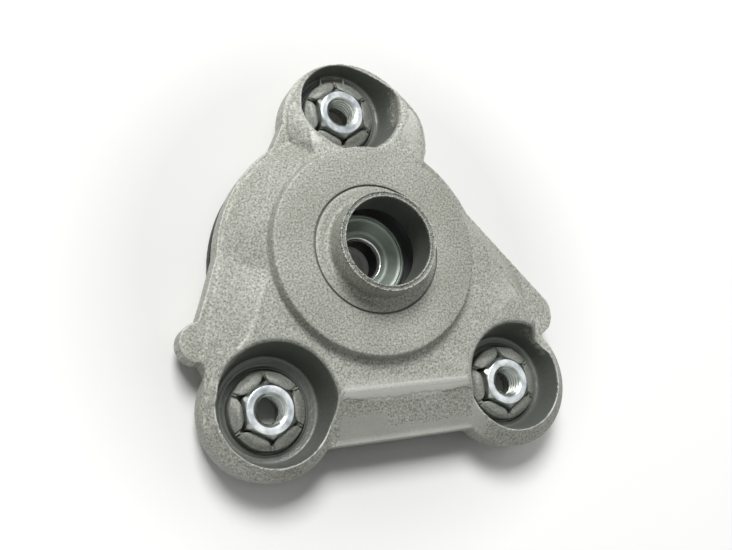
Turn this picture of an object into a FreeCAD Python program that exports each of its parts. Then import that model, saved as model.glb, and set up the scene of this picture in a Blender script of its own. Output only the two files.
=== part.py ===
import FreeCAD, Part
import math
import os
import Sketcher

# Upper strut mount: a die-cast housing, three captive nuts staked into it, and a bonded rubber bush.
# Z is the strut axis. The three feet that bolt to the body stand at height 0.
# The two lower bolts lie on a line along X, and the third lies above the axis, towards +Y.

V = FreeCAD.Vector

# Driving dimensions, in millimetres and degrees.
SIZES = {
    # bolt places, measured from the strut axis
    "left_x": -38.0,
    "left_y": -46.0,
    "right_x": 47.5,
    "right_y": -46.0,
    "top_x": 1.0,
    "top_y": 52.0,
    # heights above the feet
    "flange_base": 5.0,
    "flange_top": 13.5,
    "plateau": 21.5,
    "seat_top": 26.0,
    # skirt, its ledge and its two ears
    "skirt_x": -2.0,
    "skirt_y": -2.0,
    "skirt_radius": 47.6,
    "ledge": 1.6,
    "skirt_front": -60.2,
    "ear_left_x": -57.6,
    "ear_right_x": 62.2,
    "ear_y": -23.3,
    "ear_left_radius": 6.4,
    "ear_right_radius": 8.0,
    # sloped mound between the skirt and the plateau
    "mound_front": -44.0,
    "seat_margin": 1.3,
    "cup_radius": 22.0,
    "cup_crown": 13.5,
    "shoulder_x": 58.5,
    "shoulder_y": -9.0,
    "shoulder_slope": 8.8,
    "waist_slope": 11.6,
    "arm_x": 3.0,
    "arm_y": 45.2,
    "arm_radius": 24.6,
    "arm_ledge": 1.2,
    "arm_crown_x": 6.0,
    "arm_crown_y": 40.0,
    "arm_crown_radius": 21.0,
    "arm_web": 29.0,
    # seat disc and collar
    "seat_radius": 34.7,
    "seat_draft": 0.9,
    "collar_radius": 16.2,
    "collar_bore": 14.3,
    "collar_root": 1.2,
    "collar_rise": 10.0,
    # nut pockets and the staked rings that hold the nuts
    "pocket_left": 19.4,
    "pocket_right": 18.2,
    "pocket_upper": 17.5,
    "pocket_draft": 2.4,
    "pocket_floor": 7.0,
    "mouth_ease": 1.1,
    "nut_seat": 4.6,
    "nut_flats": 16.0,
    "nut_rise": 8.4,
    "nut_face": 15.2,
    "nut_bore": 8.5,
    "nut_lead": 10.6,
    "bolt_hole": 11.0,
    "stake_radius": 12.5,
    "stake_top": 10.2,
    "stake_edge": 8.6,
    "stake_bevel": 1.1,
    "notch_half": 1.9,
    "trench": 0.9,
    "lip": 1.3,
    "lip_rise": 0.8,
    "foot_radius": 15.0,
    # bonded bush
    "bush_wall": 2.7,
    "seat_wall": 3.7,
    "ring_wall": 1.6,
    "ring_lip": 8.0,
    "plate_sheet": 1.5,
    "plate_step": 3.6,
    "plate_reach": 12.0,
    "dish_radius": 15.2,
    "dish_top": 14.0,
    "dish_sheet": 1.8,
    "dish_depth": 3.2,
    "dish_floor": 10.6,
    "rod_hole": 14.2,
    "sleeve_wall": 3.2,
    "rear_washer_radius": 16.8,
    "rear_washer_sheet": 2.0,
    "rear_washer_base": 0.0,
    "seal_x": -2.6,
    "seal_y": -3.0,
    "seal_radius": 47.4,
    "seal_lap": 2.1,
    "seal_base": 0.4,
}

doc = FreeCAD.newDocument("strut_mount")
sheet = doc.addObject("Spreadsheet::Sheet", "sizes")
for row, (alias, number) in enumerate(SIZES.items(), start=1):
    sheet.set(f"A{row}", alias)
    sheet.set(f"B{row}", str(number))
    sheet.setAlias(f"B{row}", alias)
doc.recompute()

# Places that follow from the driving dimensions.
MOUND_CREST = "(sizes.seat_radius + sizes.seat_margin)"
BUSH_BORE = "(sizes.seat_radius - sizes.bush_wall)"
PLATE_RADIUS = f"({BUSH_BORE} + sizes.plate_step)"
PLATE_HOLE = f"({BUSH_BORE} - sizes.plate_reach)"
RING_INSIDE = f"({BUSH_BORE} - sizes.ring_wall)"
RING_LIP = f"({BUSH_BORE} - sizes.ring_lip)"
RING_BASE = "(sizes.flange_base + sizes.plate_sheet)"
SEAT_UNDER = "(sizes.seat_top - sizes.seat_wall)"
LIP_UNDER = f"({SEAT_UNDER} - sizes.ring_wall)"
SLEEVE_OUTSIDE = "(sizes.rod_hole / 2 + sizes.sleeve_wall)"
SLEEVE_BASE = "(sizes.rear_washer_base + sizes.rear_washer_sheet)"
DISH_BED = "(sizes.dish_top - sizes.dish_depth)"
SLEEVE_TOP = f"({DISH_BED} - sizes.dish_sheet)"
RIM_UNDER = "(sizes.dish_top - sizes.dish_sheet)"
DISH_BEND = "(sizes.dish_floor + 2.2)"
TRENCH_EDGE = "(sizes.stake_radius + sizes.trench)"
TRENCH_BED = "(sizes.pocket_floor - sizes.trench)"

AXIS = ("0", "0")
SKIRT = ("sizes.skirt_x", "sizes.skirt_y")
LEFT_BOLT = ("sizes.left_x", "sizes.left_y")
RIGHT_BOLT = ("sizes.right_x", "sizes.right_y")
LEFT_EAR = ("sizes.ear_left_x", "sizes.ear_y")
RIGHT_EAR = ("sizes.ear_right_x", "sizes.ear_y")

PIECES = []


def new_body(label):
    body = doc.addObject("PartDesign::Body", label)
    body.Label = label
    PIECES.append(body)
    return body


def new_sketch(body, name, role="XY_Plane", x=None, y=None, z=None):
    """A sketch on one of the body's own planes, moved by expressions along X, Y and Z."""
    sketch = body.newObject("Sketcher::SketchObject", name)
    support = [item for item in body.Origin.OriginFeatures if item.Role == role][0]
    sketch.AttachmentSupport = [(support, "")]
    sketch.MapMode = "FlatFace"
    upright = role == "XZ_Plane"
    if x:
        sketch.setExpression(".AttachmentOffset.Base.x", x)
    if y and upright:
        sketch.setExpression(".AttachmentOffset.Base.z", f"-({y})")
    if y and not upright:
        sketch.setExpression(".AttachmentOffset.Base.y", y)
    if z:
        sketch.setExpression(".AttachmentOffset.Base.z", z)
    return sketch


def fix(sketch, kind, *where_and_value):
    """Adds a dimension whose value is the expression that comes last."""
    *where, value = where_and_value
    index = sketch.addConstraint(Sketcher.Constraint(kind, *where, 1.0))
    sketch.setExpression(f"Constraints[{index}]", value)


def add_circle(sketch, radius, x="0", y="0"):
    index = sketch.addGeometry(Part.Circle(V(0, 0, 0), V(0, 0, 1), 1.0))
    fix(sketch, "Radius", index, radius)
    fix(sketch, "DistanceX", -1, 1, index, 3, x)
    fix(sketch, "DistanceY", -1, 1, index, 3, y)


def add_outline(sketch, corners):
    """A closed outline of straight lines through the corners, each of which is (x, y)."""
    count = len(corners)
    first = sketch.GeometryCount
    turn = 2 * math.pi / count
    spread = [V(count * math.cos(k * turn), count * math.sin(k * turn), 0) for k in range(count)]
    for k in range(count):
        sketch.addGeometry(Part.LineSegment(spread[k], spread[(k + 1) % count]))
    for k in range(count):
        end = first + (k + 1) % count
        sketch.addConstraint(Sketcher.Constraint("Coincident", first + k, 2, end, 1))
    for k, corner in enumerate(corners):
        fix(sketch, "DistanceX", -1, 1, first + k, 1, corner[0])
        fix(sketch, "DistanceY", -1, 1, first + k, 1, corner[1])


def on_circle(centre, radius, angle):
    """A corner that lies on a circle, at an angle in degrees from +X."""
    x, y = centre
    return (f"{x} + ({radius}) * cos({angle})", f"{y} + ({radius}) * sin({angle})")


def pad(body, name, sketch, length):
    feature = body.newObject("PartDesign::Pad", name)
    feature.Profile = sketch
    feature.setExpression("Length", length)
    doc.recompute()
    return feature


def loft(body, name, lower, upper, kind="PartDesign::AdditiveLoft"):
    feature = body.newObject(kind, name)
    feature.Profile = lower
    feature.Sections = [upper]
    feature.Ruled = True
    doc.recompute()
    return feature


def revolve(body, name, sketch):
    feature = body.newObject("PartDesign::Revolution", name)
    feature.Profile = sketch
    feature.ReferenceAxis = (sketch, ["V_Axis"])
    feature.Angle = 360
    doc.recompute()
    return feature


def must_remove(feature, volume_before):
    if feature.Shape.Volume > volume_before - 0.01:
        raise RuntimeError(f"{feature.Label} removes nothing")


def groove(body, name, sketch):
    before = body.Tip.Shape.Volume
    feature = body.newObject("PartDesign::Groove", name)
    feature.Profile = sketch
    feature.ReferenceAxis = (sketch, ["V_Axis"])
    feature.Angle = 360
    doc.recompute()
    must_remove(feature, before)
    return feature


def cut_up(body, name, sketch, length):
    """A pocket that runs from the sketch towards +Z."""
    before = body.Tip.Shape.Volume
    feature = body.newObject("PartDesign::Pocket", name)
    feature.Profile = sketch
    feature.Reversed = True
    feature.setExpression("Length", length)
    doc.recompute()
    must_remove(feature, before)
    return feature


def ring_of(body, name, feature, sketch, count):
    pattern = body.newObject("PartDesign::PolarPattern", name)
    pattern.Originals = [feature]
    pattern.Axis = (sketch, ["N_Axis"])
    pattern.Angle = 360
    pattern.Occurrences = count
    body.Tip = pattern
    doc.recompute()
    return pattern


def hexagon(flats):
    """Corners of a hexagon across the given flats, with a corner towards +Y."""
    return [on_circle(AXIS, f"({flats}) / 2 / cos(30)", angle) for angle in range(30, 390, 60)]


# Housing: a die casting in aluminium.
housing = new_body("housing")

# Skirt: a low drum round the axis, with a straight front, joined to the cups and the ears.
sketch = new_sketch(housing, "skirt_outline", z="sizes.flange_base")
add_circle(sketch, "sizes.skirt_radius", "sizes.skirt_x", "sizes.skirt_y")
pad(housing, "skirt", sketch, "sizes.flange_top - sizes.flange_base")

sketch = new_sketch(housing, "skirt_web_outline", z="sizes.flange_base")
add_outline(sketch, [
    ("sizes.left_x", "sizes.skirt_front"),
    ("sizes.right_x", "sizes.skirt_front"),
    on_circle(RIGHT_BOLT, "sizes.cup_radius - 2", 35),
    on_circle(RIGHT_EAR, "sizes.ear_right_radius", 40),
    on_circle(SKIRT, "sizes.skirt_radius", 20),
    ("0", "sizes.skirt_radius / 2"),
    on_circle(SKIRT, "sizes.skirt_radius", 173),
    on_circle(SKIRT, "sizes.skirt_radius + 4.8", 187),
    on_circle(LEFT_EAR, "sizes.ear_left_radius", 90),
    on_circle(LEFT_EAR, "sizes.ear_left_radius", 270),
    on_circle(LEFT_BOLT, "sizes.cup_radius - 2", 150),
])
pad(housing, "skirt_web", sketch, "sizes.flange_top - sizes.flange_base")

sketch = new_sketch(housing, "ear_outline", z="sizes.flange_base")
add_circle(sketch, "sizes.ear_left_radius", "sizes.ear_left_x", "sizes.ear_y")
add_circle(sketch, "sizes.ear_right_radius", "sizes.ear_right_x", "sizes.ear_y")
pad(housing, "ears", sketch, "sizes.flange_top - sizes.flange_base")

# Mound: the sloped flanks that rise from the skirt's ledge to the flat plateau.
lower = new_sketch(housing, "mound_root", z="sizes.flange_top")
add_circle(lower, "sizes.skirt_radius - sizes.ledge", "sizes.skirt_x", "sizes.skirt_y")
upper = new_sketch(housing, "mound_crest", z="sizes.plateau")
add_circle(upper, MOUND_CREST)
loft(housing, "mound", lower, upper)

lower = new_sketch(housing, "flank_root", z="sizes.flange_top")
add_outline(lower, [
    ("sizes.left_x", "sizes.skirt_front + sizes.ledge"),
    ("sizes.right_x", "sizes.skirt_front + sizes.ledge"),
    on_circle(RIGHT_BOLT, "sizes.cup_radius - 3", 40),
    ("sizes.shoulder_x", "sizes.shoulder_y"),
    on_circle(SKIRT, "sizes.skirt_radius - sizes.ledge", 23),
    ("0", "sizes.skirt_radius / 2"),
    on_circle(SKIRT, "sizes.skirt_radius - sizes.ledge", 169),
    on_circle(LEFT_EAR, "sizes.ledge * 1.4", 15),
    on_circle(LEFT_BOLT, "sizes.cup_radius + 0.6", 155),
    on_circle(LEFT_BOLT, "sizes.cup_radius - 0.3", 175),
])
upper = new_sketch(housing, "flank_crest", z="sizes.plateau")
add_outline(upper, [
    ("sizes.left_x", "sizes.mound_front"),
    ("sizes.right_x", "sizes.mound_front"),
    on_circle(RIGHT_BOLT, "sizes.cup_radius - 0.5", 62),
    ("sizes.shoulder_x - sizes.shoulder_slope", "sizes.shoulder_y"),
    on_circle(AXIS, MOUND_CREST, 23),
    ("0", f"{MOUND_CREST} / 2"),
    on_circle(AXIS, f"{MOUND_CREST} - 3", 176),
    on_circle(LEFT_EAR, "sizes.ledge * 1.4 + sizes.waist_slope", 2),
    on_circle(LEFT_BOLT, "sizes.cup_crown + 7.2", 133),
    on_circle(LEFT_BOLT, "sizes.cup_crown + 3.1", 159),
])
loft(housing, "flanks", lower, upper)

# Cups: round bodies about the two lower bolts, whose outer rims slope down and away.
for side in ("left", "right"):
    sketch = new_sketch(housing, f"cup_{side}_profile", "XZ_Plane", f"sizes.{side}_x", f"sizes.{side}_y")
    add_outline(sketch, [
        ("0", "sizes.flange_base"),
        ("sizes.cup_radius", "sizes.flange_base"),
        ("sizes.cup_radius", "sizes.flange_top"),
        ("sizes.cup_crown", "sizes.plateau"),
        ("0", "sizes.plateau"),
    ])
    revolve(housing, f"cup_{side}", sketch)

# The upper bolt sits in a round arm, which a web of the same height joins to the skirt.
sketch = new_sketch(housing, "arm_outline", z="sizes.flange_base")
add_circle(sketch, "sizes.arm_radius", "sizes.arm_x", "sizes.arm_y")
pad(housing, "arm", sketch, "sizes.flange_top - sizes.flange_base")
sketch = new_sketch(housing, "arm_web_outline", z="sizes.flange_base")
add_outline(sketch, [
    on_circle(("sizes.arm_x", "sizes.arm_y"), "sizes.arm_web", 190),
    on_circle(("sizes.arm_x", "sizes.arm_y"), "sizes.arm_radius", 175),
    on_circle(("sizes.arm_x", "sizes.arm_y"), "sizes.arm_radius", 5),
    on_circle(("sizes.arm_x", "sizes.arm_y"), "sizes.arm_web", 345),
    ("sizes.skirt_radius / 2", "sizes.skirt_radius / 2"),
    ("-sizes.skirt_radius / 2", "sizes.skirt_radius / 2"),
])
pad(housing, "arm_web", sketch, "sizes.flange_top - sizes.flange_base")
lower = new_sketch(housing, "arm_root", z="sizes.flange_top")
add_circle(lower, "sizes.arm_radius - sizes.arm_ledge", "sizes.arm_x", "sizes.arm_y")
upper = new_sketch(housing, "arm_crest", z="sizes.plateau")
add_circle(upper, "sizes.arm_crown_radius", "sizes.arm_crown_x", "sizes.arm_crown_y")
loft(housing, "arm_rim", lower, upper)

# Seat disc for the strut bearing, with the thin collar that centres it.
sketch = new_sketch(housing, "seat_profile", "XZ_Plane")
add_outline(sketch, [
    ("0", "sizes.flange_top"),
    ("sizes.seat_radius + sizes.seat_draft", "sizes.flange_top"),
    ("sizes.seat_radius + sizes.seat_draft", "sizes.plateau"),
    ("sizes.seat_radius", "sizes.seat_top"),
    ("sizes.collar_radius + sizes.collar_root", "sizes.seat_top"),
    ("sizes.collar_radius", "sizes.seat_top + sizes.collar_root"),
    ("sizes.collar_radius", "sizes.seat_top + sizes.collar_rise"),
    ("0", "sizes.seat_top + sizes.collar_rise"),
])
revolve(housing, "seat", sketch)

# Feet: the round pads that meet the body.
sketch = new_sketch(housing, "foot_outline")
for side in ("left", "right", "top"):
    add_circle(sketch, "sizes.foot_radius", f"sizes.{side}_x", f"sizes.{side}_y")
pad(housing, "feet", sketch, "sizes.flange_top")

# Bore for the bush, open to the rear, and the bore of the collar above it.
sketch = new_sketch(housing, "bush_profile", "XZ_Plane")
add_outline(sketch, [
    ("0", "-1"),
    (PLATE_RADIUS, "-1"),
    (PLATE_RADIUS, RING_BASE),
    (BUSH_BORE, RING_BASE),
    (BUSH_BORE, SEAT_UNDER),
    ("sizes.collar_bore", SEAT_UNDER),
    ("sizes.collar_bore", "sizes.seat_top + sizes.collar_rise + 1"),
    ("0", "sizes.seat_top + sizes.collar_rise + 1"),
])
groove(housing, "bush_bore", sketch)

# Wells: drafted pockets over the nuts. Each lies a little off its bolt, and its mouth is eased.
wall_slope = "sizes.pocket_draft / (sizes.plateau - sizes.pocket_floor)"
for side, mouth, shift_x, shift_y in (
    ("left", "pocket_left", "0.6", "0.6"),
    ("right", "pocket_right", "0.1", "0.8"),
    ("top", "pocket_upper", "1.0", "0.8"),
):
    place = {"x": f"sizes.{side}_x + {shift_x}", "y": f"sizes.{side}_y + {shift_y}"}
    mouth_edge = f"sizes.{mouth} + sizes.mouth_ease * 0.8"
    sketch = new_sketch(housing, f"well_{side}_profile", "XZ_Plane", **place)
    add_outline(sketch, [
        ("0", "sizes.pocket_floor"),
        (f"sizes.{mouth} - sizes.pocket_draft", "sizes.pocket_floor"),
        (f"sizes.{mouth} - sizes.mouth_ease * {wall_slope}", "sizes.plateau - sizes.mouth_ease"),
        (mouth_edge, "sizes.plateau"),
        (mouth_edge, "sizes.seat_top + 1"),
        ("0", "sizes.seat_top + 1"),
    ])
    groove(housing, f"well_{side}", sketch)

# Staked rings: in each well the casting's own metal is pressed over the nut by a six-part punch.
# The punch leaves a notched ring with a bevelled edge, a trench round it, and a lip beyond the trench.
for side in ("left", "right", "top"):
    place = {"x": f"sizes.{side}_x", "y": f"sizes.{side}_y"}
    sketch = new_sketch(housing, f"stake_{side}_profile", "XZ_Plane", **place)
    add_outline(sketch, [
        ("sizes.bolt_hole / 2", "sizes.nut_seat"),
        ("sizes.bolt_hole / 2", "sizes.stake_top"),
        ("sizes.stake_radius - sizes.stake_bevel", "sizes.stake_top"),
        ("sizes.stake_radius", "sizes.stake_edge"),
        ("sizes.stake_radius", "sizes.nut_seat"),
    ])
    revolve(housing, f"stake_{side}", sketch)
    sketch = new_sketch(housing, f"lip_{side}_profile", "XZ_Plane", **place)
    add_outline(sketch, [
        (TRENCH_EDGE, TRENCH_BED),
        (f"{TRENCH_EDGE} + sizes.lip", TRENCH_BED),
        (f"{TRENCH_EDGE} + sizes.lip", "sizes.pocket_floor"),
        (TRENCH_EDGE, "sizes.pocket_floor + sizes.lip_rise"),
    ])
    revolve(housing, f"lip_{side}", sketch)
    sketch = new_sketch(housing, f"trench_{side}_profile", "XZ_Plane", **place)
    add_outline(sketch, [
        ("sizes.stake_radius", TRENCH_BED),
        (TRENCH_EDGE, TRENCH_BED),
        (TRENCH_EDGE, "sizes.stake_top"),
        ("sizes.stake_radius", "sizes.stake_top"),
    ])
    groove(housing, f"trench_{side}", sketch)
    sketch = new_sketch(housing, f"hole_{side}_outline", z="-1", **place)
    add_circle(sketch, "sizes.bolt_hole / 2")
    cut_up(housing, f"hole_{side}", sketch, "sizes.nut_seat + 2")
    sketch = new_sketch(housing, f"hexagon_{side}_outline", z="sizes.nut_seat", **place)
    add_outline(sketch, hexagon("sizes.nut_flats"))
    cut_up(housing, f"hexagon_{side}", sketch, "sizes.nut_rise")
    sketch = new_sketch(housing, f"notch_{side}_outline", z="sizes.pocket_floor", **place)
    add_outline(sketch, [
        ("-sizes.notch_half", "sizes.nut_flats / 2 + 0.5"),
        ("sizes.notch_half", "sizes.nut_flats / 2 + 0.5"),
        ("0", "sizes.stake_radius - sizes.stake_bevel - 0.1"),
    ])
    notch = cut_up(housing, f"notch_{side}", sketch, "sizes.nut_rise")
    ring_of(housing, f"notches_{side}", notch, sketch, 6)

# Captive nuts: zinc-plated M10 hexagon nuts, chamfered on the face that shows.
for side in ("left", "right", "top"):
    nut = new_body(f"nut_{side}")
    sketch = new_sketch(nut, f"nut_{side}_outline")
    add_outline(sketch, hexagon("sizes.nut_flats"))
    pad(nut, f"nut_{side}_blank", sketch, "sizes.nut_rise")
    slope = "sizes.nut_flats / cos(30) / 2 + 1 - sizes.nut_face / 2"
    edge = "sizes.nut_flats / cos(30) / 2 + 1"
    sketch = new_sketch(nut, f"nut_{side}_corner_profile", "XZ_Plane")
    add_outline(sketch, [
        ("sizes.nut_face / 2", "sizes.nut_rise"),
        (edge, f"sizes.nut_rise - ({slope}) * tan(30)"),
        (edge, "sizes.nut_rise"),
    ])
    groove(nut, f"nut_{side}_corners", sketch)
    sketch = new_sketch(nut, f"nut_{side}_bore_profile", "XZ_Plane")
    lead = "(sizes.nut_lead - sizes.nut_bore) / 2"
    add_outline(sketch, [
        ("0", "0"),
        ("sizes.nut_bore / 2", "0"),
        ("sizes.nut_bore / 2", f"sizes.nut_rise - {lead}"),
        ("sizes.nut_lead / 2", "sizes.nut_rise"),
        ("0", "sizes.nut_rise"),
    ])
    groove(nut, f"nut_{side}_bore", sketch)
    nut.setExpression("Placement.Base.x", f"sizes.{side}_x")
    nut.setExpression("Placement.Base.y", f"sizes.{side}_y")
    nut.setExpression("Placement.Base.z", "sizes.nut_seat")


def turned_piece(label, corners):
    body = new_body(label)
    sketch = new_sketch(body, f"{label}_profile", "XZ_Plane")
    add_outline(sketch, corners)
    revolve(body, f"{label}_turned", sketch)
    return body


# Outer ring of the bush: a drawn steel shell pressed into the housing, with a lip under the seat wall.
turned_piece("outer_ring", [
    (RING_INSIDE, RING_BASE),
    (BUSH_BORE, RING_BASE),
    (BUSH_BORE, SEAT_UNDER),
    (RING_LIP, SEAT_UNDER),
    (RING_LIP, LIP_UNDER),
    (RING_INSIDE, LIP_UNDER),
])

# Closing plate: a steel annulus let into the rear of the housing, which keeps the bush in.
turned_piece("closing_plate", [
    (PLATE_HOLE, "sizes.flange_base"),
    (PLATE_RADIUS, "sizes.flange_base"),
    (PLATE_RADIUS, RING_BASE),
    (PLATE_HOLE, RING_BASE),
])

# Core of the bush: a dished washer, a sleeve for the piston rod and a rear washer.
turned_piece("dished_washer", [
    ("sizes.rod_hole / 2", SLEEVE_TOP),
    ("sizes.dish_floor", SLEEVE_TOP),
    (DISH_BEND, RIM_UNDER),
    ("sizes.dish_radius", RIM_UNDER),
    ("sizes.dish_radius", "sizes.dish_top"),
    (f"{DISH_BEND} - 0.4", "sizes.dish_top"),
    ("sizes.dish_floor - 0.4", DISH_BED),
    ("sizes.rod_hole / 2", DISH_BED),
])
turned_piece("core_sleeve", [
    ("sizes.rod_hole / 2", SLEEVE_BASE),
    (SLEEVE_OUTSIDE, SLEEVE_BASE),
    (SLEEVE_OUTSIDE, SLEEVE_TOP),
    ("sizes.rod_hole / 2", SLEEVE_TOP),
])
turned_piece("rear_washer", [
    ("sizes.rod_hole / 2", "sizes.rear_washer_base"),
    ("sizes.rear_washer_radius", "sizes.rear_washer_base"),
    ("sizes.rear_washer_radius", SLEEVE_BASE),
    ("sizes.rod_hole / 2", SLEEVE_BASE),
])

# Rubber of the bush, bonded between the core and the outer ring.
turned_piece("rubber_bush", [
    (SLEEVE_OUTSIDE, SLEEVE_BASE),
    ("sizes.rear_washer_radius - 0.5", SLEEVE_BASE),
    (f"{PLATE_HOLE} - 1.5", RING_BASE),
    (RING_INSIDE, RING_BASE),
    (RING_INSIDE, LIP_UNDER),
    (RING_LIP, LIP_UNDER),
    ("sizes.dish_radius", RIM_UNDER),
    (DISH_BEND, RIM_UNDER),
    ("sizes.dish_floor", SLEEVE_TOP),
    (SLEEVE_OUTSIDE, SLEEVE_TOP),
])

# Seal: a rubber ring under the skirt, cut away round the feet.
seal = new_body("body_seal")
sketch = new_sketch(seal, "seal_outline", z="sizes.seal_base")
add_circle(sketch, "sizes.seal_radius", "sizes.seal_x", "sizes.seal_y")
add_circle(sketch, f"{PLATE_RADIUS} - sizes.seal_lap")
pad(seal, "seal_ring", sketch, "sizes.flange_base - sizes.seal_base")
sketch = new_sketch(seal, "scallop_outline", z="sizes.seal_base")
for side in ("left", "right", "top"):
    add_circle(sketch, "sizes.foot_radius + 0.5", f"sizes.{side}_x", f"sizes.{side}_y")
cut_up(seal, "scallops", sketch, "sizes.flange_base - sizes.seal_base")

doc.recompute()
for item in doc.Objects:
    if "Invalid" in item.State or "Error" in item.State:
        raise RuntimeError(f"{item.Label} is {item.State}")
for piece in PIECES:
    if piece.Shape.isNull() or not piece.Shape.isValid():
        raise RuntimeError(f"{piece.Label} has no valid shape")

os.makedirs("parts", exist_ok=True)
for piece in PIECES:
    piece.Shape.exportStep(f"parts/{piece.Label}.step")
    print(piece.Label, len(piece.Shape.Solids), round(piece.Shape.Volume, 1))
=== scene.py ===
import math

import bmesh
import bpy
import numpy as np
from mathutils import Matrix, Vector, noise


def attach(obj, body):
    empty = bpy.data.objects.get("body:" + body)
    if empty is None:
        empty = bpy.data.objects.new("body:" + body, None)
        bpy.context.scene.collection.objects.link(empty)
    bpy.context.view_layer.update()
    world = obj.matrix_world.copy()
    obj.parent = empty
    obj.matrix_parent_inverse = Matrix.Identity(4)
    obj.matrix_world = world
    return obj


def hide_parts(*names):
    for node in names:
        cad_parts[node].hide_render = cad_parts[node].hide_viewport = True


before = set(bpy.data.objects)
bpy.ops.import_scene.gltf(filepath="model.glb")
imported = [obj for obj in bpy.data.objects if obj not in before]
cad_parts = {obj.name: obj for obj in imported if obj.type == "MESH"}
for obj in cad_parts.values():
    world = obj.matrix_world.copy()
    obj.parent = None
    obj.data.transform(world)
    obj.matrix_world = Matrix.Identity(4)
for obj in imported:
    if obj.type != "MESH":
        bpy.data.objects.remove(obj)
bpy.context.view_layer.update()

# Housing
# One die casting in aluminium alloy, shot blasted after it left the die. The three feet bolt it to the body.
# The wells' walls and the collar's inside are coloured a smoother, darker grey, and the trimmed rims and
# crests show bare bright metal.
mm = 0.001
BOLTS = {"left": (-38.0, -46.0), "right": (47.5, -46.0), "top": (1.0, 52.0)}
DISC_RADIUS, DISC_FOOT, DISC_TOP = 35.75, 20.6, 26.0
COLLAR_OUTSIDE, COLLAR_WALL, COLLAR_MOUTH = 16.2, 1.9, 35.1
COLLAR_INSIDE = COLLAR_OUTSIDE - COLLAR_WALL


def softened(name, source, voxel, passes, keep):
    """A copy of a CAD node's mesh with its edges eased, as casting and moulding leave them."""
    made = bpy.data.objects.new(name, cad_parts[source].data.copy())
    bpy.context.scene.collection.objects.link(made)
    grid = made.modifiers.new("grid", "REMESH")
    grid.mode = "VOXEL"
    grid.voxel_size = voxel * mm
    ease = made.modifiers.new("ease", "SMOOTH")
    ease.iterations = passes
    ease.factor = 0.5
    thin = made.modifiers.new("thin", "DECIMATE")
    thin.ratio = keep
    bpy.context.view_layer.update()
    mesh = bpy.data.meshes.new_from_object(made.evaluated_get(bpy.context.evaluated_depsgraph_get()))
    made.modifiers.clear()
    made.data = mesh
    made.data.materials.clear()
    mesh.shade_smooth()
    return made


def read_points(mesh):
    flat = np.zeros(len(mesh.vertices) * 3)
    mesh.vertices.foreach_get("co", flat)
    return flat.reshape(-1, 3) / mm


def write_points(mesh, points):
    mesh.vertices.foreach_set("co", (points * mm).ravel())
    mesh.update()


def average_round(values):
    """The average of a value over each vertex's neighbours in the casting's mesh."""
    return np.bincount(ends[:, 0], weights=values[ends[:, 1]], minlength=len(values)) / neighbours


def noise_at(points, scale):
    """Smooth noise from -1 to 1 at each point, with lumps about 1 / scale millimetres wide."""
    return np.array([noise.noise(Vector(p) * scale) for p in points])


GRID, COARSE_GRID = 0.45, 0.8
housing = softened("housing_casting", "housing", GRID, 5, 0.39)
mesh = housing.data
spots = read_points(mesh)
from_axis = np.hypot(spots[:, 0], spots[:, 1])
height = spots[:, 2]
ends = np.zeros(len(mesh.edges) * 2, int)
mesh.edges.foreach_get("vertices", ends)
ends = ends.reshape(-1, 2)
ends = np.concatenate([ends, ends[:, ::-1]])
neighbours = np.maximum(np.bincount(ends[:, 0], minlength=len(spots)), 1)

# four corners where the cups' rims run into the flanks in long soft fillets: x, y and reach
RIM_CORNERS = ((60.5, -32.3, 7.0), (-52.3, -32.9, 7.0), (-14.4, 46.8, 8.0), (19.4, 51.3, 7.0))
RIM_FOOT = 13.8
soft = np.zeros(len(spots))
for x, y, reach in RIM_CORNERS:
    near = np.clip(1 - np.hypot(spots[:, 0] - x, spots[:, 1] - y) / reach, 0, 1)
    soft = np.maximum(soft, near * np.clip((height - RIM_FOOT) / 1.5, 0, 1))
soft = np.minimum(soft * 2, 1)
for _ in range(60):
    spots[:, 2] += (average_round(spots[:, 2]) - spots[:, 2]) * soft * 0.8
height = spots[:, 2]

# the casting's own mesh stays just under the turned seat, the collar and the staked rings laid on it below
UNDER = 0.12
on_disc = (from_axis < DISC_RADIUS - 1.35) & (height > DISC_TOP - 0.6)
spots[on_disc, 2] -= np.where(from_axis[on_disc] < 32, 10 * UNDER, UNDER)
on_disc_wall = (np.abs(from_axis - DISC_RADIUS + 0.55) < 1.2) & (height > DISC_FOOT + 1)
inward = np.where(on_disc_wall, UNDER, 0.0)
on_collar = (from_axis < COLLAR_OUTSIDE + 1) & (from_axis > COLLAR_INSIDE - 0.7) & (height > 22.6)
mid_wall = (COLLAR_OUTSIDE + COLLAR_INSIDE) / 2
inward = np.where(on_collar, np.clip(from_axis - mid_wall, -UNDER, UNDER), inward)
spots[:, :2] *= (1 - inward / np.maximum(from_axis, 1.0))[:, None]
spots[on_collar & (height > COLLAR_MOUTH - 0.3), 2] -= 0.5
SEAT_FLOOR = 5.4
for x, y in BOLTS.values():
    away = np.hypot(spots[:, 0] - x, spots[:, 1] - y)
    ring_top = np.where(away < 13.1, 11.5, 8.7)
    spots[(away > 5.9) & (away < 14.9) & (height > SEAT_FLOOR) & (height < ring_top), 2] = SEAT_FLOOR
write_points(mesh, spots)

# edges are rubbed bright where they stand out, and in patches for a millimetre or two beside them
FULLY_BARE = 0.06
normals = np.zeros(len(spots) * 3)
mesh.vertices.foreach_get("normal", normals)
sunk = spots - np.stack([average_round(spots[:, k]) for k in range(3)], axis=1)
bulge = (sunk * normals.reshape(-1, 3)).sum(1)
bare = np.clip(bulge / FULLY_BARE, 0, 1)
rubbed = bare.copy()
for _ in range(6):
    rubbed = np.maximum(rubbed, 0.96 * average_round(rubbed))
patchy = noise_at(spots, 0.3) + 0.5 * noise_at(spots, 1.3)
bare = np.maximum(bare, rubbed * np.clip(0.05 + 1.6 * patchy, 0, 1))

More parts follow.
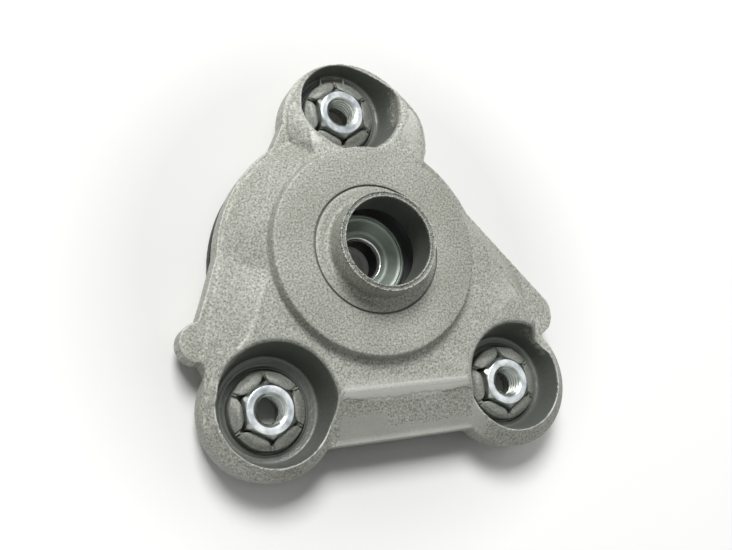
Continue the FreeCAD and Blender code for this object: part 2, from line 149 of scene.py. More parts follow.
# a cold, crumbled crest outside the left well, where the metal filled the die late
CREST_INSIDE, CREST_OUTSIDE, CRUMBLE_FROM, CRUMBLE_TO, CRUMBLE_DEPTH = 20.4, 22.4, 140, 188, 0.45
x, y = BOLTS["left"]
bearing = np.degrees(np.arctan2(spots[:, 1] - y, spots[:, 0] - x)) % 360
away = np.hypot(spots[:, 0] - x, spots[:, 1] - y)
crumbled = (away > CREST_INSIDE) & (away < CREST_OUTSIDE) & (height > RIM_FOOT + 0.1)
crumbled &= (bearing > CRUMBLE_FROM) & (bearing < CRUMBLE_TO)
crumble = noise_at(spots[crumbled], 1.1) + 0.6 * noise_at(spots[crumbled], 2.6)
spots[crumbled, 2] += np.minimum(crumble * CRUMBLE_DEPTH, 0.05)
bare[crumbled] = np.maximum(bare[crumbled], np.clip(crumble * 2.4, 0, 1))

# the trimmed edge of the front ledge
TRIM_FROM, TRIM_TO, LEDGE_FRONT, LEDGE_LOW, LEDGE_HIGH = 18, 36, -57.2, 12.6, 14.4
x, y = spots[:, 0], spots[:, 1]
trimmed = (x > TRIM_FROM) & (x < TRIM_TO) & (y < LEDGE_FRONT) & (height > LEDGE_LOW) & (height < LEDGE_HIGH)
trim_marks = np.array([noise.noise(Vector((p[0] * 0.9, 3.0, 0))) for p in spots[trimmed]])
bare[trimmed] = np.maximum(bare[trimmed], np.clip(trim_marks * 3.0, 0, 1))

# the front flank with some of the cups beside it: the material trims this to the flank's own edges
flank = ((x > -26) & (x < 44) & (y < -38) & (height > 11)).astype(float)
write_points(mesh, spots)
height = spots[:, 2]

# the wells' drafted walls and the collar's inside: each well's centre and its radius at the mouth
WELLS = {"left": (-37.4, -45.4, 19.4), "right": (47.6, -45.2, 18.2), "top": (2.0, 52.8, 17.5)}
WELL_MOUTH, WELL_DEPTH, DRAFT = 21.5, 14.5, 2.4
in_well = np.zeros(len(spots))
for x, y, mouth in WELLS.values():
    wall = mouth - DRAFT * (WELL_MOUTH - height) / WELL_DEPTH
    inside = np.clip((wall + 0.45 - np.hypot(spots[:, 0] - x, spots[:, 1] - y)) / 0.4, 0, 1)
    below_rim = np.clip((WELL_MOUTH - 0.6 - height) / 0.8, 0, 1)
    above_floor = np.clip((height - SEAT_FLOOR + 0.1) / 0.1, 0, 1)
    in_well = np.maximum(in_well, inside * below_rim * above_floor)
in_collar = np.clip((COLLAR_INSIDE + 0.6 - from_axis) / 0.3, 0, 1)
in_collar *= np.clip((COLLAR_MOUTH + 0.5 - height) / 0.6, 0, 1)
in_well = np.maximum(in_well, in_collar)
bare[(in_well > 0.5) & (height < 15)] = 0
for name, values in (("flank", flank), ("well", in_well), ("edge", bare)):
    mesh.attributes.new(name, "FLOAT", "POINT").data.foreach_set("value", values)


def linear(code):
    """An sRGB hex colour as linear light."""
    parts = [int(code[k:k + 2], 16) / 255 for k in (0, 2, 4)]
    return (*[v / 12.92 if v <= 0.04045 else ((v + 0.055) / 1.055) ** 2.4 for v in parts], 1.0)


def node(tree, kind, links=None, stops=None, **settings):
    """A shader node with its settings and links.

    links maps a socket's name or number to a value or to another node's output.
    stops maps the two places on a colour ramp to their hex colours.
    """
    made = tree.nodes.new("ShaderNode" + kind)
    for key, value in settings.items():
        setattr(made, key, value)
    for key, value in (links or {}).items():
        if isinstance(value, bpy.types.NodeSocket):
            tree.links.new(value, made.inputs[key])
        else:
            made.inputs[key].default_value = value
    if stops:
        for element, (position, code) in zip(made.color_ramp.elements, stops.items()):
            element.position, element.color = position, linear(code)
    return made


def material(name, roughness, metallic):
    """A material with a Principled shader and Object coordinates, ready for its own nodes."""
    made = bpy.data.materials.new(name)
    made.use_nodes = True
    tree = made.node_tree
    shader = tree.nodes["Principled BSDF"]
    shader.inputs["Roughness"].default_value = roughness
    shader.inputs["Metallic"].default_value = metallic
    return made, tree, shader, node(tree, "TexCoord").outputs["Object"]


def per_metre(size):
    """The scale of a pattern whose lumps are a size in millimetres."""
    return 1 / (size * mm)


# Blasting leaves a fine pale sparkle over a matt grey body, and the oxide on it hardly mirrors. The grains
# and dents are drawn two or three times coarser than the shot's marks, or they would not show.
skin, tree, shader, place = material("die_cast_aluminium_shot_blasted", 0.55, 0.2)
grain = node(tree, "TexNoise",
             {"Vector": place, "Scale": per_metre(0.667), "Detail": 3.0, "Roughness": 0.65})
dents = node(tree, "TexVoronoi", {"Vector": place, "Scale": per_metre(1.11)})
cloud = node(tree, "TexNoise", {"Vector": place, "Scale": per_metre(22.2), "Detail": 4.0})
on_edge = node(tree, "Attribute", attribute_name="edge").outputs["Fac"]
dark_and_shade_mask = node(tree, "Attribute", attribute_name="well").outputs["Fac"]
on_flank = node(tree, "Attribute", attribute_name="flank").outputs["Fac"]
body = node(tree, "ValToRGB", {0: grain.outputs["Fac"]}, stops={0.32: "76776f", 0.7: "d0d2c9"})
blotch = node(tree, "ValToRGB", {0: cloud.outputs["Fac"]}, stops={0.35: "d8d8d2", 0.7: "ffffff"})
# a darker grey mixed in by the "well" mask: a darker tone on the wells' walls and the collar's inside, and
# painted shade in the scribed groove, the torn valley of the collar's mouth and the staked rings' open
# corners and trenches
dark_tone_and_shade = node(tree, "ValToRGB", {0: cloud.outputs["Fac"]}, stops={0.3: "60635e", 0.7: "747770"})
smear = node(tree, "ValToRGB", {0: cloud.outputs["Fac"]}, stops={0.3: "9c9e96", 0.7: "afb1a9"})
blasted = node(tree, "Mix", {0: 0.7, 6: body.outputs[0], 7: blotch.outputs[0]},
               data_type="RGBA", blend_type="MULTIPLY")

# The blast missed smooth areas of the front flank, with ragged borders: a band under the plateau's edge
# with a dark seam below it, the lower left corner, the ledge along the foot and a strip by the right cup.
SEAM, FOOT_LEDGE, CORNER_TOP, CORNER_SIDE, CUP_STRIP, BORDER = 20.0, 15.0, 17.6, -1.0, 30.0, 0.12
PLATEAU_EDGE, FLANK_LEFT, FLANK_RIGHT = 21.2, -17.2, 34.0
apart = node(tree, "SeparateXYZ", {0: place})
tatter = node(tree, "TexNoise",
              {"Vector": place, "Scale": per_metre(4.0), "Detail": 5.0, "Roughness": 0.6})
sway = node(tree, "MapRange", {0: tatter.outputs["Fac"], 3: -1.2 * mm, 4: 1.2 * mm}).outputs[0]
level = node(tree, "Math", {0: apart.outputs["Z"], 1: sway}, operation="ADD").outputs[0]
along = node(tree, "Math", {0: apart.outputs["X"], 1: sway}, operation="ADD").outputs[0]
band = node(tree, "MapRange", {0: level, 1: SEAM * mm, 2: (SEAM + BORDER) * mm}).outputs[0]
ledge = node(tree, "MapRange", {0: level, 1: FOOT_LEDGE * mm, 2: (FOOT_LEDGE - BORDER) * mm}).outputs[0]
low = node(tree, "MapRange", {0: level, 1: CORNER_TOP * mm, 2: (CORNER_TOP - BORDER) * mm}).outputs[0]
left = node(tree, "MapRange", {0: along, 1: CORNER_SIDE * mm, 2: (CORNER_SIDE - BORDER) * mm}).outputs[0]
strip = node(tree, "MapRange", {0: along, 1: CUP_STRIP * mm, 2: (CUP_STRIP + BORDER) * mm}).outputs[0]
spared = node(tree, "Math", {0: low, 1: left}, operation="MULTIPLY").outputs[0]
for area in (band, ledge, strip):
    spared = node(tree, "Math", {0: spared, 1: area}, operation="MAXIMUM").outputs[0]
flank_only = on_flank
for ordinate, outside, inside in ((apart.outputs["Z"], PLATEAU_EDGE + BORDER, PLATEAU_EDGE),
                                  (along, FLANK_LEFT - BORDER, FLANK_LEFT),
                                  (along, FLANK_RIGHT + BORDER, FLANK_RIGHT)):
    within = node(tree, "MapRange", {0: ordinate, 1: outside * mm, 2: inside * mm}).outputs[0]
    flank_only = node(tree, "Math", {0: flank_only, 1: within}, operation="MULTIPLY").outputs[0]
spared = node(tree, "Math", {0: spared, 1: flank_only}, operation="MULTIPLY").outputs[0]
how_smooth = node(tree, "MapRange", {0: spared, 3: 0.0, 4: 0.85})
smoothed = node(tree, "Mix", {0: how_smooth.outputs[0], 6: blasted.outputs[2], 7: smear.outputs[0]},
                data_type="RGBA")
off_seam = node(tree, "Math", {0: level, 1: SEAM * mm}, operation="SUBTRACT").outputs[0]
off_seam = node(tree, "Math", {0: off_seam}, operation="ABSOLUTE").outputs[0]
seam = node(tree, "MapRange", {0: off_seam, 1: 0.05 * mm, 2: 0.22 * mm, 3: 0.75, 4: 0.0}).outputs[0]
seam = node(tree, "Math", {0: seam, 1: flank_only}, operation="MULTIPLY").outputs[0]
patched = node(tree, "Mix", {0: seam, 6: smoothed.outputs[2], 7: linear("62645e")}, data_type="RGBA")

with_wells = node(tree, "Mix", {0: dark_and_shade_mask, 6: patched.outputs[2], 7: dark_tone_and_shade.outputs[0]}, data_type="RGBA")
how_bare = node(tree, "MapRange", {0: on_edge, 1: 0.3, 2: 1.0, 3: 0.0, 4: 0.6})
with_edges = node(tree, "Mix", {0: how_bare.outputs[0], 6: with_wells.outputs[2], 7: linear("dcddd7")},
                  data_type="RGBA")
tree.links.new(with_edges.outputs[2], shader.inputs["Base Color"])
sheen = node(tree, "MapRange", {0: dark_and_shade_mask, 3: 0.58, 4: 0.42})
tree.links.new(sheen.outputs[0], shader.inputs["Roughness"])
relief = node(tree, "Math", {0: grain.outputs["Fac"], 1: dents.outputs["Distance"]}, operation="ADD")
bump = node(tree, "Bump", {"Height": relief.outputs[0], "Strength": 0.45, "Distance": 0.12 * mm})
tree.links.new(bump.outputs["Normal"], shader.inputs["Normal"])

mesh.materials.append(skin)
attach(housing, "root")
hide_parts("housing")

# Seat and collar
# Part of the same casting. A ring scribed by the fixture runs round the collar, with painted shade in its
# groove, and its mouth was broken off a runner, which left two ragged bright edges with a torn valley between
# them. The bright ridges also carry painted highlight, and the valley is painted dark as painted shade.
SCRIBED, GROOVE_DEPTH = 21.2, 0.7
MOUTH_STEPS, MOUTH_CREST, MOUTH_LIMIT, OVERHANG = 12, 35.62, 35.98, 0.25


def piece(name, verts, faces):
    """A smooth mesh object from points in millimetres."""
    mesh = bpy.data.meshes.new(name)
    mesh.from_pydata([tuple(c * mm for c in v) for v in verts], [], faces)
    mesh.update()
    work = bmesh.new()
    work.from_mesh(mesh)
    bmesh.ops.recalc_face_normals(work, faces=work.faces)
    work.to_mesh(mesh)
    work.free()
    mesh.shade_smooth()
    made = bpy.data.objects.new(name, mesh)
    bpy.context.scene.collection.objects.link(made)
    return made


def cast_piece(name, verts, faces, bright, dark):
    """A piece of the casting's own metal, with the same masks as the casting."""
    made = piece(name, verts, faces)
    made.data.attributes.new("edge", "FLOAT", "POINT").data.foreach_set("value", bright)
    made.data.attributes.new("well", "FLOAT", "POINT").data.foreach_set("value", dark)
    made.data.materials.append(skin)
    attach(made, "root")


# the section from the disc's foot, over its edge, through the scribed ring and up the collar to its mouth
outline = [(DISC_RADIUS, DISC_FOOT), (DISC_RADIUS - 0.3, DISC_FOOT + 1.1)]
outline += [(DISC_RADIUS - inset, DISC_TOP - drop) for inset, drop in
            ((0.75, 1.8), (0.93, 0.7), (1.07, 0.28), (1.35, 0.05), (1.75, 0.0), (5.75, 0.0), (9.75, 0.0))]
outline += [(22.0, DISC_TOP)]
outline += [(SCRIBED + aside, DISC_TOP - drop) for aside, drop in
            ((0.35, 0), (0.3, 0.04), (0.22, GROOVE_DEPTH), (-0.22, GROOVE_DEPTH), (-0.3, 0.04), (-0.35, 0))]
outline += [(19.0, DISC_TOP)]
outline += [(COLLAR_OUTSIDE + out, DISC_TOP + rise) for out, rise in
            ((1.5, 0.0), (0.9, 0.08), (0.4, 0.4), (0.1, 0.95), (0.0, 1.6), (0.0, 4.0), (0.0, 6.5))]
outline += [(COLLAR_OUTSIDE, COLLAR_MOUTH - 0.9), (COLLAR_OUTSIDE, COLLAR_MOUTH)]
mouth_from = len(outline)
outline += [(COLLAR_OUTSIDE - COLLAR_WALL * k / MOUTH_STEPS, MOUTH_CREST) for k in range(MOUTH_STEPS + 1)]
mouth_to = len(outline)
outline += [(COLLAR_INSIDE, z) for z in (COLLAR_MOUTH, 34.0, 31.0, 27.0, 23.2)]
outline += [(COLLAR_INSIDE + 0.08, 22.5), (COLLAR_INSIDE + 0.4, 22.32)]

steps = 720
verts, faces = [], []
bright, dark = [], []
for k in range(steps):
    turn = 2 * math.pi * k / steps
    here = Vector((math.cos(turn), math.sin(turn), 0))
    for j, (r, z) in enumerate(outline):
        # painted shade: the scribed groove takes the full darker grey, as does the collar's inside
        in_groove = abs(r - SCRIBED) < 0.4 and z < DISC_TOP
        shine, shade = 0.0, 1.0 if j >= mouth_to or in_groove else 0.0
        if mouth_from - 1 <= j <= mouth_to:
            # a ridge along each edge of the wall, and coarse, fine and sharp tears over both
            across = min(1.0, max(0.0, (COLLAR_OUTSIDE - r) / COLLAR_WALL))
            rough = noise.noise(here * 13 + Vector((0, 0, across * 2.5)))
            fine = noise.noise(here * 42 + Vector((0, 0, across * 6)))
            sharp = noise.noise(here * 95 + Vector((5, 0, across * 9)))
            ridge = math.exp(-((across - 0.12) / 0.13) ** 2)
            ridge += 0.9 * math.exp(-((across - 0.86) / 0.12) ** 2)
            z += 0.2 * ridge - 0.35 * (1 - min(1.0, ridge)) + 0.25 * rough + 0.2 * fine + 0.14 * sharp
            z = min(z, MOUTH_LIMIT)
            r += 0.26 * fine + 0.16 * sharp
            r = min(COLLAR_OUTSIDE + OVERHANG, max(COLLAR_INSIDE - OVERHANG, r))
            # bare torn metal on the ridges, brightened further as painted highlight, and painted shade
            # darkening the valley between them
            shine = min(1.0, ridge) * (0.8 + 1.6 * fine + 1.4 * sharp)
            shade = min(1.0, max(0.0, 1.3 * (0.7 - ridge) - 2.2 * fine - 1.5 * sharp))
        elif 3 <= j < 6:
            # the disc's own edge is nicked bright
            shine = 2.2 * noise.noise(here * 60 + Vector((0, 0, j))) - 0.15
        verts.append((r * here.x, r * here.y, z))
        bright.append(max(0.0, shine))
        dark.append(shade)
    for j in range(len(outline) - 1):
        low, high = k * len(outline) + j, (k + 1) % steps * len(outline) + j
        faces.append((low, high, high + 1, low + 1))
cast_piece("housing_seat_and_collar", verts, faces, bright, dark)

# Staked rings
# The casting's own metal round each nut, pressed inwards by a punch with six flats. Each flat leaves a full
# lobe. Between the lobes stand thin fins, and open corners show the nut's points.
NUT_FLAT, LOBE_CREST, LOBE_EDGE, RING_EDGE = 8.0, 8.9, 12.55, 15.5
LOBE_TOP, OPEN_CORNER, TRENCH, RING_FOOT, RING_SKIRT = 11.1, 6.4, 6.15, 4.9, 6.3
FIN_START, FIN_HEIGHT, FIN_HALF = 10.9, 0.95, 0.2
DIP_ASIDE, DIP_DEPTH, DIP_HALF = 0.3, 0.75, 0.38
OPENING_FROM, OPENING_TO, OPENING_HALF = 9.0, 11.0, 1.55
LIP_RADIUS, LIP_RISE, LIP_BEAD = 13.25, 0.87, 0.5
FLOOR_FINS, FIN_FROM, FIN_LENGTH, FIN_CROWN = (-3.2, 5.45), 62.6, 3.9, 8.3
STEP_CHANGE = 12.0
for side, (x, y) in BOLTS.items():
    around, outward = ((720, 48))
    verts, faces, bright, dark = [], [], [], []
    for k in range(around):
        turn = 2 * math.pi * k / around
        off = turn - round(turn / math.radians(60)) * math.radians(60)
        from_corner = math.radians(30) - abs(off)
        inside = NUT_FLAT / math.cos(off)
        for j in range(outward + 1):
            # the steps are finer inside the lobes' edge than in the trench beyond it
            t = max(0, j - 1) / (outward - 1)
            r = inside + (STEP_CHANGE - inside) * t / 0.45
            if t >= 0.45:
                r = STEP_CHANGE + (RING_EDGE - STEP_CHANGE) * (t - 0.45) / 0.55
            sway = noise.noise(Vector((math.cos(turn) * 2.2 + x, math.sin(turn) * 2.2 + y, r * 0.5)))
            flat = r * math.cos(off)
            side_gap = r * math.sin(from_corner)
            edge_radius = LOBE_EDGE + 0.12 * sway
            crest = LOBE_CREST + 0.15 * math.cos(6 * turn) + 0.3 * sway
            top = LOBE_TOP - 0.2 * max(0.0, flat - crest) ** 1.6 - 0.6 * max(0.0, crest - flat) ** 1.6
            top -= 0.7 * (off / math.radians(30)) ** 2
            top -= DIP_DEPTH * math.exp(-((side_gap - DIP_ASIDE) / DIP_HALF) ** 2)
            fin = math.exp(-(side_gap / FIN_HALF) ** 2) * min(1.0, max(0.0, (r - FIN_START) / 0.4))
            top += FIN_HEIGHT * fin + 0.1 * sway
            half_open = OPENING_HALF * (OPENING_TO - r) / (OPENING_TO - OPENING_FROM)
            opening = r < OPENING_TO and side_gap < half_open
            if opening:
                top = OPEN_CORNER
            rim = min(1.0, max(0.0, (r - edge_radius + 0.15) / 0.3))
            rim = rim * rim * (3 - 2 * rim)
            top = top * (1 - rim) + TRENCH * rim
            rise = min(1.0, max(0.0, (r - LIP_RADIUS) / 0.25))
            top += rise * (LIP_RISE + LIP_BEAD * max(0.0, 1 - max(0.0, r - LIP_RADIUS - 0.25) / 0.9))
            if j == 0:
                top = RING_FOOT
            if j == outward:
                top = RING_SKIRT
            verts.append((x + r * math.cos(turn), y + r * math.sin(turn), top))
            burr = math.exp(-((r - edge_radius + 0.12) / 0.12) ** 2)
            bright.append(max(0.0, 0.7 * fin * (1 - rim) + (0.4 + 0.9 * sway) * burr))
            # painted shade: the open corners and everything beyond the lobes' edge take the full darker grey,
            # while the lobes take only part of it
            dark.append(0.62 if r < edge_radius and not opening else 1.0)
        for j in range(outward):
            low, high = k * (outward + 1) + j, (k + 1) % around * (outward + 1) + j
            faces.append((low, high, high + 1, low + 1))
    if side == "top":
        # the punch also raised two thin fins on the floor beyond this ring
        for fin_x in FLOOR_FINS:
            first = len(verts)
            for along in range(9):
                fin_y = FIN_FROM + FIN_LENGTH * along / 8
                crown = FIN_CROWN + 0.1 * math.sin(along * 2.3) if along else 7.2
                for across, z in ((-0.38, 6.0), (-0.16, crown), (0.16, crown), (0.38, 6.0)):
                    verts.append((fin_x + across + 0.04 * math.sin(along * 1.7), fin_y, z))
                    bright.append(0.5 if z > 6.5 else 0.1)
                    dark.append(0.5)
            faces += [(first + 4 * a + c, first + 4 * a + c + 1, first + 4 * a + c + 5, first + 4 * a + c + 4)
                      for a in range(8) for c in range(3)]
    cast_piece(f"housing_staked_ring_{side}", verts, faces, bright, dark)

# Captive nuts
# Three M10 hexagon nuts in bright zinc-plated steel, with chamfered faces and a 1.5 mm pitch thread.
# Each lies in a hexagonal seat in its well, and the casting is staked over its edge.
NUT_HEIGHT, NUT_SEAT, PITCH = 8.4, 4.6, 1.5
FACE_RADIUS, CHAMFER = 7.5, math.radians(36)
THREAD_MOUTH, THREAD_ROOT, THREAD_DEPTH = 5.5, 5.02, 0.78
THREAD_LEVELS, NUT_STEPS = 78, 96


def hexagon(turn):
    return NUT_FLAT / math.cos((turn + math.radians(30)) % math.radians(60) - math.radians(30))


def chamfer(r):
    return max(0.0, r - FACE_RADIUS) * math.tan(CHAMFER)


def thread(turn, z):
    """The thread's radius, which runs out at both faces."""
    phase = (z / PITCH - turn / (2 * math.pi)) % 1.0
    crest = min(1.0, max(0.0, abs(phase - 0.5) * 2.6 - 0.25))
    run_out = min(1.0, (NUT_HEIGHT - z) / 1.3, z / 1.3)
    return THREAD_ROOT - THREAD_DEPTH * run_out * (1 - crest)


# each ring's radius at a turn, and its height at a radius: up the outside first, then down the thread
rings = [
    (lambda turn: FACE_RADIUS + 0.05, lambda r: 0.0),
    (lambda turn: FACE_RADIUS + 0.12, lambda r: 0.06),
    (lambda turn: hexagon(turn) - 0.12, chamfer),
    (hexagon, lambda r: chamfer(r) + 0.18),
    (hexagon, lambda r: NUT_HEIGHT - chamfer(r) - 0.18),
    (lambda turn: hexagon(turn) - 0.12, lambda r: NUT_HEIGHT - chamfer(r)),
    (lambda turn: FACE_RADIUS + 0.12, lambda r: NUT_HEIGHT - 0.06),
    (lambda turn: FACE_RADIUS, lambda r: NUT_HEIGHT),
    (lambda turn: THREAD_MOUTH + 0.12, lambda r: NUT_HEIGHT),
    (lambda turn: THREAD_MOUTH, lambda r: NUT_HEIGHT - 0.06),
]
for level in range(THREAD_LEVELS + 1):
    z = NUT_HEIGHT - 0.45 - (NUT_HEIGHT - 0.9) * level / THREAD_LEVELS
    rings.append((lambda turn, z=z: thread(turn, z), lambda r, z=z: z))
rings.append((lambda turn: THREAD_MOUTH, lambda r: 0.06))
rings.append((lambda turn: THREAD_MOUTH + 0.12, lambda r: 0.0))
nut_verts, nut_faces = [], []
for n, (radius_at, height_at) in enumerate(rings):
    for k in range(NUT_STEPS):
        turn = math.radians(30) + 2 * math.pi * k / NUT_STEPS
        r = radius_at(turn)
        nut_verts.append((r * math.cos(turn), r * math.sin(turn), height_at(r)))
        low, high = n * NUT_STEPS, (n + 1) % len(rings) * NUT_STEPS
        beside = (k + 1) % NUT_STEPS
        nut_faces.append((low + k, low + beside, high + beside, high + k))

# Bright zinc has a bluish film that mirrors softly in clouds a few millimetres wide.
plated, tree, shader, place = material("bright_zinc_plated_steel", 0.24, 1.0)
film = node(tree, "TexNoise", {"Vector": place, "Scale": per_metre(3.85), "Detail": 4.0})
tone = node(tree, "ValToRGB", {0: film.outputs["Fac"]}, stops={0.3: "949ca1", 0.72: "e2e6e6"})
tree.links.new(tone.outputs["Color"], shader.inputs["Base Color"])
polish = node(tree, "MapRange", {0: film.outputs["Fac"], 1: 0.3, 2: 0.7, 3: 0.18, 4: 0.34})
tree.links.new(polish.outputs[0], shader.inputs["Roughness"])
scratch = node(tree, "TexNoise", {"Vector": place, "Scale": per_metre(1.11), "Detail": 2.0})
bump = node(tree, "Bump", {"Height": scratch.outputs["Fac"], "Strength": 0.25, "Distance": 0.05 * mm})
tree.links.new(bump.outputs["Normal"], shader.inputs["Normal"])

# The pressed flats and corners and the cut thread are duller than the ground upper face.
cut, tree, shader, place = material("zinc_plated_steel_cut_thread", 0.34, 1.0)
film = node(tree, "TexNoise", {"Vector": place, "Scale": per_metre(3.12), "Detail": 4.0})
tone = node(tree, "ValToRGB", {0: film.outputs["Fac"]}, stops={0.3: "7d837f", 0.72: "b3b8b1"})
tree.links.new(tone.outputs["Color"], shader.inputs["Base Color"])
polish = node(tree, "MapRange", {0: film.outputs["Fac"], 1: 0.3, 2: 0.7, 3: 0.28, 4: 0.44})
tree.links.new(polish.outputs[0], shader.inputs["Roughness"])

for side, (x, y) in BOLTS.items():
    nut = piece(f"nut_{side}_threaded", [(x + a, y + b, NUT_SEAT + c) for a, b, c in nut_verts], nut_faces)
    nut.data.materials.append(plated)
    nut.data.materials.append(cut)
    band = np.arange(len(nut.data.polygons)) // NUT_STEPS
    on_face = (band >= 6) & (band <= 8)
    nut.data.polygons.foreach_set("material_index", np.where(on_face, 0, 1))
    nut.data.set_sharp_from_angle(angle=math.radians(32))
    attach(nut, "root")
    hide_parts(f"nut_{side}")

# Dished washer
# A steel pressing, zinc plated and gone dull, on which the piston rod's nut pulls the bush together.
# Its rim is turned over, and the burnished edge of its hole shows bright.
HOLE_RADIUS = 7.1


def rounded(corners, steps=4):
    """A closed outline whose corners (x, y, radius) are eased with short arcs."""
    made = []
    count = len(corners)
    for k, (x, y, radius) in enumerate(corners):
        here = Vector((x, y))
        back = Vector(corners[k - 1][:2]) - here
        ahead = Vector(corners[(k + 1) % count][:2]) - here
        reach = min(radius, back.length * 0.45, ahead.length * 0.45)
        start = here + back.normalized() * reach
        end = here + ahead.normalized() * reach
        for j in range(steps + 1):
            t = j / steps
            made.append(tuple(start * (1 - t) ** 2 + here * 2 * t * (1 - t) + end * t ** 2))
    return made


def lathe(name, outline, steps=144):
    """A closed outline of (radius, height) points in millimetres, turned about the strut axis."""
    verts, faces = [], []
    count = len(outline)
    for k in range(steps):
        turn = 2 * math.pi * k / steps
        verts += [(r * math.cos(turn), r * math.sin(turn), z) for r, z in outline]
        for j in range(count):
            a, b = k * count + j, k * count + (j + 1) % count
            c, d = (k + 1) % steps * count + (j + 1) % count, (k + 1) % steps * count + j
            faces.append((a, b, c, d))
    return piece(name, verts, faces)


# Old zinc is a dull greenish grey, and the rod's nut has polished the edge of the hole.
dull, tree, shader, place = material("dull_zinc_plated_steel_pressing", 0.48, 0.75)
film = node(tree, "TexNoise", {"Vector": place, "Scale": per_metre(8.33), "Detail": 5.0})
tone = node(tree, "ValToRGB", {0: film.outputs["Fac"]}, stops={0.3: "7b847b", 0.7: "99a299"})
apart = node(tree, "SeparateXYZ", {0: place})
level = node(tree, "CombineXYZ", {0: apart.outputs["X"], 1: apart.outputs["Y"]})
from_hole = node(tree, "VectorMath", {0: level.outputs[0]}, operation="LENGTH").outputs["Value"]
polished_to, dull_from = (HOLE_RADIUS + 0.6) * mm, (HOLE_RADIUS + 0.85) * mm
burnish = node(tree, "MapRange", {0: from_hole, 1: dull_from, 2: polished_to, 3: 0.0, 4: 1.0}).outputs[0]
tone = node(tree, "Mix", {0: burnish, 6: tone.outputs["Color"], 7: linear("f2f2ee")}, data_type="RGBA")
tree.links.new(tone.outputs[2], shader.inputs["Base Color"])
polish = node(tree, "MapRange", {0: burnish, 3: 0.5, 4: 0.16})
tree.links.new(polish.outputs[0], shader.inputs["Roughness"])
# faint turning lines one millimetre apart: a wave's scale of 1 is a line every 2 pi / 20
turning = per_metre(1.05) * 2 * math.pi / 20
turned = node(tree, "TexWave", {"Vector": place, "Scale": turning, "Distortion": 1.0},
              wave_type="RINGS", rings_direction="Z")
bump = node(tree, "Bump", {"Height": turned.outputs["Fac"], "Strength": 0.08, "Distance": 0.05 * mm})
tree.links.new(bump.outputs["Normal"], shader.inputs["Normal"])

dish = lathe("dished_washer_pressed", rounded([
    (HOLE_RADIUS, 9.0, 0.3), (10.6, 9.0, 1.2), (12.8, 12.2, 1.0), (15.0, 12.2, 0.5),
    (15.2, 13.1, 0.3), (14.75, 13.25, 0.2), (15.15, 13.4, 0.2), (15.15, 14.0, 0.4), (14.3, 14.0, 0.3),
    (14.1, 13.75, 0.2), (13.8, 13.9, 0.2), (12.9, 13.55, 2.5), (9.7, 10.8, 2.5), (7.7, 10.8, 0.15),
    (HOLE_RADIUS, 10.35, 0.2),
]), 192)
dish.data.materials.append(dull)
dish.data.set_sharp_from_angle(angle=math.radians(50))
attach(dish, "root")
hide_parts("dished_washer")
# the hidden pressings, in the same dull zinc
for name in ("rear_washer", "outer_ring", "closing_plate"):
    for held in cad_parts[name].material_slots:
        held.material = dull

# Core sleeve
# A drawn steel tube, which carries the clamping force from washer to washer.
# It is coloured very dark, as oily steel and as painted shade so that its bore reads black, with a soft shine
# that wanders along the draw.
oiled_and_bore_shade, tree, shader, place = material("oiled_drawn_steel_tube_and_bore_shade", 0.4, 0.8)
film = node(tree, "TexNoise", {"Vector": place, "Scale": per_metre(5.0), "Detail": 4.0})
tone = node(tree, "ValToRGB", {0: film.outputs["Fac"]}, stops={0.3: "2c2f2d", 0.7: "454946"})
tree.links.new(tone.outputs["Color"], shader.inputs["Base Color"])
polish = node(tree, "MapRange", {0: film.outputs["Fac"], 1: 0.3, 2: 0.7, 3: 0.34, 4: 0.55})
tree.links.new(polish.outputs[0], shader.inputs["Roughness"])
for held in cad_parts["core_sleeve"].material_slots:
    held.material = oiled_and_bore_shade

# Rubber bush
# Black natural rubber, moulded and bonded between the core and the outer ring. Its free faces sag in between.
# A faint bloom greys it in clouds, and its skin is finely pored.
rubber, tree, shader, place = material("black_moulded_rubber", 0.62, 0.0)
bloom = node(tree, "TexNoise", {"Vector": place, "Scale": per_metre(11.1), "Detail": 5.0})
tone = node(tree, "ValToRGB", {0: bloom.outputs["Fac"]}, stops={0.3: "161716", 0.75: "2b2c2b"})
tree.links.new(tone.outputs["Color"], shader.inputs["Base Color"])
polish = node(tree, "MapRange", {0: bloom.outputs["Fac"], 1: 0.3, 2: 0.7, 3: 0.5, 4: 0.75})
tree.links.new(polish.outputs[0], shader.inputs["Roughness"])
pores = node(tree, "TexNoise", {"Vector": place, "Scale": per_metre(0.77), "Detail": 2.0})
bump = node(tree, "Bump", {"Height": pores.outputs["Fac"], "Strength": 0.3, "Distance": 0.1 * mm})
tree.links.new(bump.outputs["Normal"], shader.inputs["Normal"])

bush = lathe("rubber_bush_moulded", rounded([
    (10.4, 2.05, 0.3), (15.9, 2.05, 0.6), (17.0, 4.4, 1.0), (18.6, 6.45, 0.6), (30.3, 6.55, 0.3),
    (30.3, 20.6, 0.3), (24.2, 20.6, 0.8), (21.0, 15.6, 2.0), (18.6, 13.3, 1.2), (15.0, 12.3, 0.6),
    (12.8, 12.1, 0.5), (10.5, 8.9, 0.5), (10.4, 8.9, 0.1),
]))
bush.data.materials.append(rubber)
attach(bush, "root")
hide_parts("rubber_bush")

# Body seal
# A soft rubber ring held under the skirt, cut away round the feet. It closes the gap to the body.
seal = softened("body_seal_moulded", "body_seal", 0.6, 6, 0.5)
seal.data.materials.append(rubber)
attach(seal, "root")
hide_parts("body_seal")

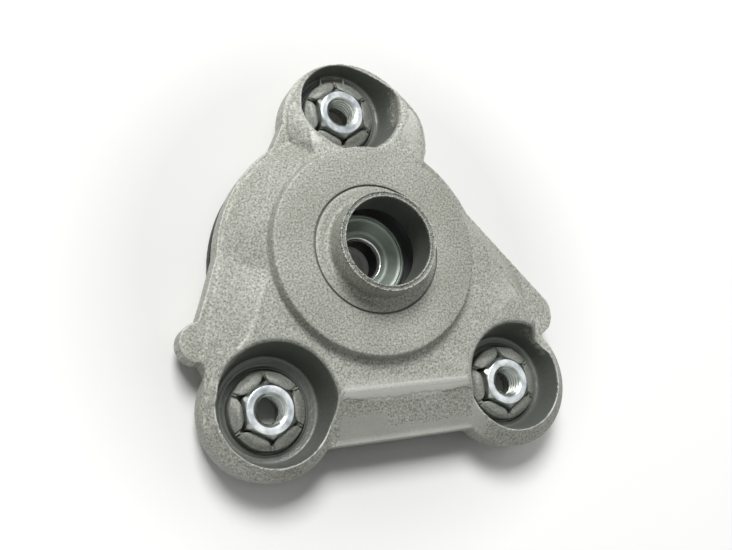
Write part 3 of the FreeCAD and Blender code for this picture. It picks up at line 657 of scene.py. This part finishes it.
# Floor, light and camera
# White paper in an even white room, with one soft lamp high behind the upper arm and a weak one at the right.
# Near the object the paper keeps its shadow, and further off it glows for the camera alone.
FLOOR_HALF = 3
ground = bpy.data.meshes.new("ground")
corners = [(-FLOOR_HALF, -FLOOR_HALF, 0), (FLOOR_HALF, -FLOOR_HALF, 0)]
corners += [(FLOOR_HALF, FLOOR_HALF, 0), (-FLOOR_HALF, FLOOR_HALF, 0)]
ground.from_pydata(corners, [], [(0, 1, 2, 3)])
ground = bpy.data.objects.new("ground", ground)
bpy.context.scene.collection.objects.link(ground)
paper, tree, shader, place = material("white_paper", 0.9, 0.0)
shader.inputs["Base Color"].default_value = linear("f4f4f2")
shader.inputs["Emission Color"].default_value = (1, 1, 1, 1)
rays = node(tree, "LightPath")
away = node(tree, "VectorMath", {0: place}, operation="LENGTH").outputs["Value"]
past_shadow = node(tree, "MapRange", {0: away, 1: 0.07, 2: 0.11, 3: 0.0, 4: 0.22})
far_off = node(tree, "MapRange", {0: away, 1: 0.2, 2: 1.2, 3: 0.0, 4: 0.8})
glow = node(tree, "Math", {0: past_shadow.outputs[0], 1: far_off.outputs[0]}, operation="ADD")
glow = node(tree, "Math", {0: rays.outputs["Is Camera Ray"], 1: glow.outputs[0]}, operation="MULTIPLY")
tree.links.new(glow.outputs[0], shader.inputs["Emission Strength"])
ground.data.materials.append(paper)


def lamp(name, width, power, spot, aim=(0, 0, 0.015)):
    """A square soft lamp aimed at the object."""
    data = bpy.data.lights.new(name, "AREA")
    data.size = width
    data.energy = power
    made = bpy.data.objects.new(name, data)
    made.location = spot
    made.rotation_euler = (Vector(aim) - Vector(spot)).to_track_quat("-Z", "Y").to_euler()
    bpy.context.scene.collection.objects.link(made)


lamp("key", 0.75, 35.5, (-0.325, 1.1, 1.5))
lamp("fill", 0.5, 0.25, (0.5, 0.1, 0.6))

world = bpy.data.worlds.new("white_room")
bpy.context.scene.world = world
world.use_nodes = True
tree = world.node_tree
back = tree.nodes["Background"]
back.inputs["Color"].default_value = (1, 1, 1, 1)
rays = node(tree, "LightPath")
seen = rays.outputs["Is Camera Ray"]
for also in ("Is Glossy Ray", "Is Transmission Ray"):
    seen = node(tree, "Math", {0: seen, 1: rays.outputs[also]}, operation="MAXIMUM").outputs[0]
strength = node(tree, "MapRange", {0: seen, 3: 0.13, 4: 1.0})
tree.links.new(strength.outputs[0], back.inputs["Strength"])

view = bpy.data.cameras.new("view")
view.lens = 47.1
view.sensor_width = 36
view.clip_start = 0.01
camera = bpy.data.objects.new("view", view)
right, up = (0.9112, -0.1480, 0.38447), (0.05768, 0.96989, 0.23663)
behind = (-0.40792, -0.19344, 0.89229)
facing = Matrix((right, up, behind)).transposed()
camera.matrix_world = Matrix.Translation((-0.128857, -0.067056, 0.296294)) @ facing.to_4x4()
bpy.context.scene.collection.objects.link(camera)
bpy.context.scene.camera = camera
bpy.context.scene.view_settings.view_transform = "Standard"
